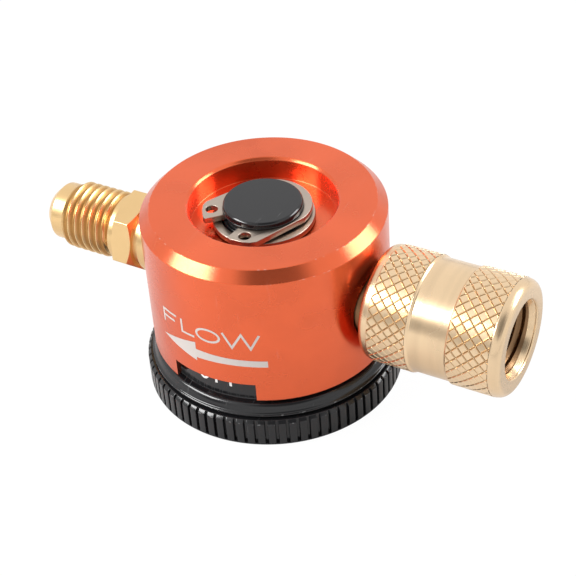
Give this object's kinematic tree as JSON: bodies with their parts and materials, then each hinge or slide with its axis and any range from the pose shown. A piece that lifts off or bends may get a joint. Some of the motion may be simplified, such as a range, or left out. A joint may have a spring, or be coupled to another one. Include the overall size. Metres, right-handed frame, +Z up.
{
  "type": "nitrogen flow regulator",
  "caption": "In-line gas flow selector: round housing over a ribbed selector dial, flare-threaded outlet on one side, knurled swivel-nut inlet on the other.",
  "frame": {"origin": "centre of the selector dial's flat underside, on the dial's axis", "axes": "+Z up along the dial's axis, out of the housing's top; +X along the ports to the swivel-nut inlet, with the flare outlet at -X; the housing's legend window faces -Y"},
  "size_m": [0.0821, 0.041, 0.0316],
  "materials": {
    "orange_anodised": "satin orange anodised, with fine turning lines",
    "black_anodised": "glossy black anodised",
    "brass": "bright turned",
    "spring_steel": "plain, slightly dull",
    "seal_rubber": "matt black",
    "seat_plastic": "off-white"
  },
  "bodies": {
    "housing": {"housing": "orange_anodised", "thrust_washer": "spring_steel", "stop_pin": "spring_steel", "detent_spring": "spring_steel", "inlet_seat": "seat_plastic", "outlet_seat": "seat_plastic", "inlet_seat_o_ring": "seal_rubber", "outlet_seat_o_ring": "seal_rubber", "outlet_fitting": "brass", "outlet_fitting_o_ring": "seal_rubber", "inlet_stem": "brass", "inlet_stem_o_ring": "seal_rubber", "inlet_gasket": "seal_rubber"},
    "dial": {"selector_dial": "black_anodised", "retaining_ring": "spring_steel", "spindle_o_ring_lower": "seal_rubber", "spindle_o_ring_upper": "seal_rubber", "metering_orifice": "brass"},
    "nut": {"swivel_nut": "brass"},
    "ball": {"detent_ball": "spring_steel"}
  },
  "joints": [
    {"name": "dial_turn", "type": "hinge", "parent": "housing", "child": "dial", "pos_m": [0, 0, 0], "axis": [0, 0, 1], "range_deg": [0, 120]},
    {"name": "nut_spin", "type": "hinge", "parent": "housing", "child": "nut", "pos_m": [0.03, 0, 0.0187], "axis": [1, 0, 0], "continuous": true},
    {"name": "detent_ball_drop", "type": "slide", "parent": "housing", "child": "ball", "axis": [0, 0, 1], "range_m": [-0.00045, 0], "deforming": ["detent_spring"]}
  ]
}
